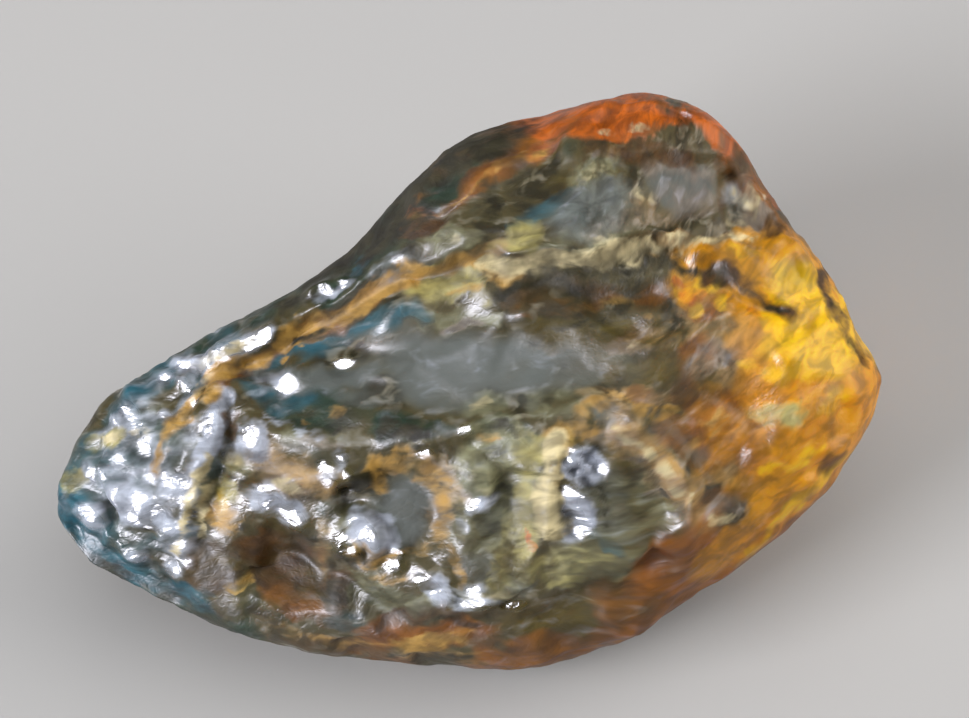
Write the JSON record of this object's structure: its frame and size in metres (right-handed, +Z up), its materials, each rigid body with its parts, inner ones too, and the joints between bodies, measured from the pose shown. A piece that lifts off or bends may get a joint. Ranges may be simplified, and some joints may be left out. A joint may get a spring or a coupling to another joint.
{
  "type": "rough amber nugget",
  "caption": "Rough, unpolished nugget of translucent blue amber, thin at its blue tip and thick at its honey end, resting on a flat of its underside.",
  "frame": {"origin": "middle of the bounding box in plan, on the surface that the nugget rests on", "axes": "+X along the nugget from the thin blue tip to the thick honey end, +Z up; the broad carved face looks up and to the front (-Y)"},
  "size_m": [0.0314, 0.0196, 0.0152],
  "materials": {
    "amber": "gloss"
  },
  "bodies": {
    "root": {"amber_nugget": "amber"}
  },
  "joints": []
}
